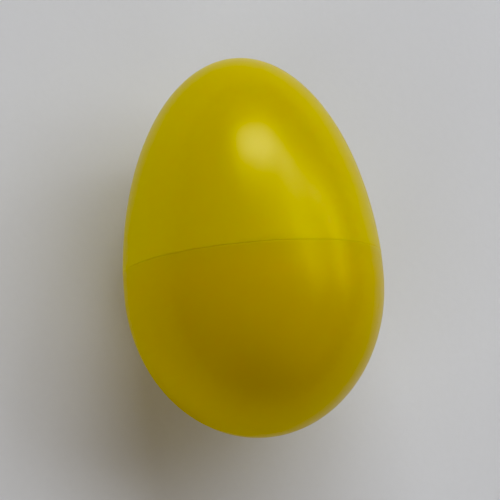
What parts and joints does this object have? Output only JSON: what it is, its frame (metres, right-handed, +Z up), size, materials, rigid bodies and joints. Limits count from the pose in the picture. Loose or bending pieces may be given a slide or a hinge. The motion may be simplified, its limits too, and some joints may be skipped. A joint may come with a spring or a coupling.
{
  "type": "egg shaker",
  "caption": "Hollow plastic egg in two glued shells round a loose fill of steel shot, shaken in the hand to keep a rhythm.",
  "frame": {"origin": "on the table, under the middle of the egg's length, with the egg lying on its side and its long axis level", "axes": "+X along the long axis towards the narrow end, +Z up"},
  "size_m": [0.0594, 0.04, 0.04],
  "materials": {
    "blunt_yellow": "satin moulded, slightly deeper yellow",
    "narrow_yellow": "satin moulded",
    "shot_steel": "bare tumbled steel"
  },
  "bodies": {
    "shells": {"blunt_shell": "blunt_yellow", "narrow_shell": "narrow_yellow"},
    "shot_01": {"shot_01": "shot_steel"},
    "shot_02": {"shot_02": "shot_steel"},
    "shot_03": {"shot_03": "shot_steel"},
    "shot_04": {"shot_04": "shot_steel"},
    "shot_05": {"shot_05": "shot_steel"},
    "shot_06": {"shot_06": "shot_steel"},
    "shot_07": {"shot_07": "shot_steel"},
    "shot_08": {"shot_08": "shot_steel"},
    "shot_09": {"shot_09": "shot_steel"},
    "shot_10": {"shot_10": "shot_steel"},
    "shot_11": {"shot_11": "shot_steel"},
    "shot_12": {"shot_12": "shot_steel"},
    "shot_13": {"shot_13": "shot_steel"},
    "shot_14": {"shot_14": "shot_steel"},
    "shot_15": {"shot_15": "shot_steel"},
    "shot_16": {"shot_16": "shot_steel"},
    "shot_17": {"shot_17": "shot_steel"},
    "shot_18": {"shot_18": "shot_steel"},
    "shot_19": {"shot_19": "shot_steel"},
    "shot_20": {"shot_20": "shot_steel"},
    "shot_21": {"shot_21": "shot_steel"},
    "shot_22": {"shot_22": "shot_steel"},
    "shot_23": {"shot_23": "shot_steel"},
    "shot_24": {"shot_24": "shot_steel"},
    "shot_25": {"shot_25": "shot_steel"},
    "shot_26": {"shot_26": "shot_steel"},
    "shot_27": {"shot_27": "shot_steel"},
    "shot_28": {"shot_28": "shot_steel"},
    "shot_29": {"shot_29": "shot_steel"},
    "shot_30": {"shot_30": "shot_steel"},
    "shot_31": {"shot_31": "shot_steel"},
    "shot_32": {"shot_32": "shot_steel"},
    "shot_33": {"shot_33": "shot_steel"},
    "shot_34": {"shot_34": "shot_steel"},
    "shot_35": {"shot_35": "shot_steel"},
    "shot_36": {"shot_36": "shot_steel"},
    "shot_37": {"shot_37": "shot_steel"}
  },
  "joints": [
    {"name": "shot_01_hop", "type": "slide", "parent": "shells", "child": "shot_01", "axis": [0, 0, 1], "range_m": [0, 0.026]},
    {"name": "shot_02_hop", "type": "slide", "parent": "shells", "child": "shot_02", "axis": [0, 0, 1], "range_m": [0, 0.0281]},
    {"name": "shot_03_hop", "type": "slide", "parent": "shells", "child": "shot_03", "axis": [0, 0, 1], "range_m": [0, 0.0288]},
    {"name": "shot_04_hop", "type": "slide", "parent": "shells", "child": "shot_04", "axis": [0, 0, 1], "range_m": [0, 0.0285]},
    {"name": "shot_05_hop", "type": "slide", "parent": "shells", "child": "shot_05", "axis": [0, 0, 1], "range_m": [0, 0.0278]},
    {"name": "shot_06_hop", "type": "slide", "parent": "shells", "child": "shot_06", "axis": [0, 0, 1], "range_m": [0, 0.0264]},
    {"name": "shot_07_hop", "type": "slide", "parent": "shells", "child": "shot_07", "axis": [0, 0, 1], "range_m": [0, 0.0268]},
    {"name": "shot_08_hop", "type": "slide", "parent": "shells", "child": "shot_08", "axis": [0, 0, 1], "range_m": [0, 0.0295]},
    {"name": "shot_09_hop", "type": "slide", "parent": "shells", "child": "shot_09", "axis": [0, 0, 1], "range_m": [0, 0.0308]},
    {"name": "shot_10_hop", "type": "slide", "parent": "shells", "child": "shot_10", "axis": [0, 0, 1], "range_m": [0, 0.0309]},
    {"name": "shot_11_hop", "type": "slide", "parent": "shells", "child": "shot_11", "axis": [0, 0, 1], "range_m": [0, 0.0304]},
    {"name": "shot_12_hop", "type": "slide", "parent": "shells", "child": "shot_12", "axis": [0, 0, 1], "range_m": [0, 0.0295]},
    {"name": "shot_13_hop", "type": "slide", "parent": "shells", "child": "shot_13", "axis": [0, 0, 1], "range_m": [0, 0.028]},
    {"name": "shot_14_hop", "type": "slide", "parent": "shells", "child": "shot_14", "axis": [0, 0, 1], "range_m": [0, 0.0258]},
    {"name": "shot_15_hop", "type": "slide", "parent": "shells", "child": "shot_15", "axis": [0, 0, 1], "range_m": [0, 0.0256]},
    {"name": "shot_16_hop", "type": "slide", "parent": "shells", "child": "shot_16", "axis": [0, 0, 1], "range_m": [0, 0.0291]},
    {"name": "shot_17_hop", "type": "slide", "parent": "shells", "child": "shot_17", "axis": [0, 0, 1], "range_m": [0, 0.031]},
    {"name": "shot_18_hop", "type": "slide", "parent": "shells", "child": "shot_18", "axis": [0, 0, 1], "range_m": [0, 0.0316]},
    {"name": "shot_19_hop", "type": "slide", "parent": "shells", "child": "shot_19", "axis": [0, 0, 1], "range_m": [0, 0.0314]},
    {"name": "shot_20_hop", "type": "slide", "parent": "shells", "child": "shot_20", "axis": [0, 0, 1], "range_m": [0, 0.0307]},
    {"name": "shot_21_hop", "type": "slide", "parent": "shells", "child": "shot_21", "axis": [0, 0, 1], "range_m": [0, 0.0295]},
    {"name": "shot_22_hop", "type": "slide", "parent": "shells", "child": "shot_22", "axis": [0, 0, 1], "range_m": [0, 0.0278]},
    {"name": "shot_23_hop", "type": "slide", "parent": "shells", "child": "shot_23", "axis": [0, 0, 1], "range_m": [0, 0.0253]},
    {"name": "shot_24_hop", "type": "slide", "parent": "shells", "child": "shot_24", "axis": [0, 0, 1], "range_m": [0, 0.0268]},
    {"name": "shot_25_hop", "type": "slide", "parent": "shells", "child": "shot_25", "axis": [0, 0, 1], "range_m": [0, 0.0295]},
    {"name": "shot_26_hop", "type": "slide", "parent": "shells", "child": "shot_26", "axis": [0, 0, 1], "range_m": [0, 0.0308]},
    {"name": "shot_27_hop", "type": "slide", "parent": "shells", "child": "shot_27", "axis": [0, 0, 1], "range_m": [0, 0.0309]},
    {"name": "shot_28_hop", "type": "slide", "parent": "shells", "child": "shot_28", "axis": [0, 0, 1], "range_m": [0, 0.0304]},
    {"name": "shot_29_hop", "type": "slide", "parent": "shells", "child": "shot_29", "axis": [0, 0, 1], "range_m": [0, 0.0295]},
    {"name": "shot_30_hop", "type": "slide", "parent": "shells", "child": "shot_30", "axis": [0, 0, 1], "range_m": [0, 0.028]},
    {"name": "shot_31_hop", "type": "slide", "parent": "shells", "child": "shot_31", "axis": [0, 0, 1], "range_m": [0, 0.0258]},
    {"name": "shot_32_hop", "type": "slide", "parent": "shells", "child": "shot_32", "axis": [0, 0, 1], "range_m": [0, 0.026]},
    {"name": "shot_33_hop", "type": "slide", "parent": "shells", "child": "shot_33", "axis": [0, 0, 1], "range_m": [0, 0.0281]},
    {"name": "shot_34_hop", "type": "slide", "parent": "shells", "child": "shot_34", "axis": [0, 0, 1], "range_m": [0, 0.0288]},
    {"name": "shot_35_hop", "type": "slide", "parent": "shells", "child": "shot_35", "axis": [0, 0, 1], "range_m": [0, 0.0285]},
    {"name": "shot_36_hop", "type": "slide", "parent": "shells", "child": "shot_36", "axis": [0, 0, 1], "range_m": [0, 0.0278]},
    {"name": "shot_37_hop", "type": "slide", "parent": "shells", "child": "shot_37", "axis": [0, 0, 1], "range_m": [0, 0.0264]}
  ]
}
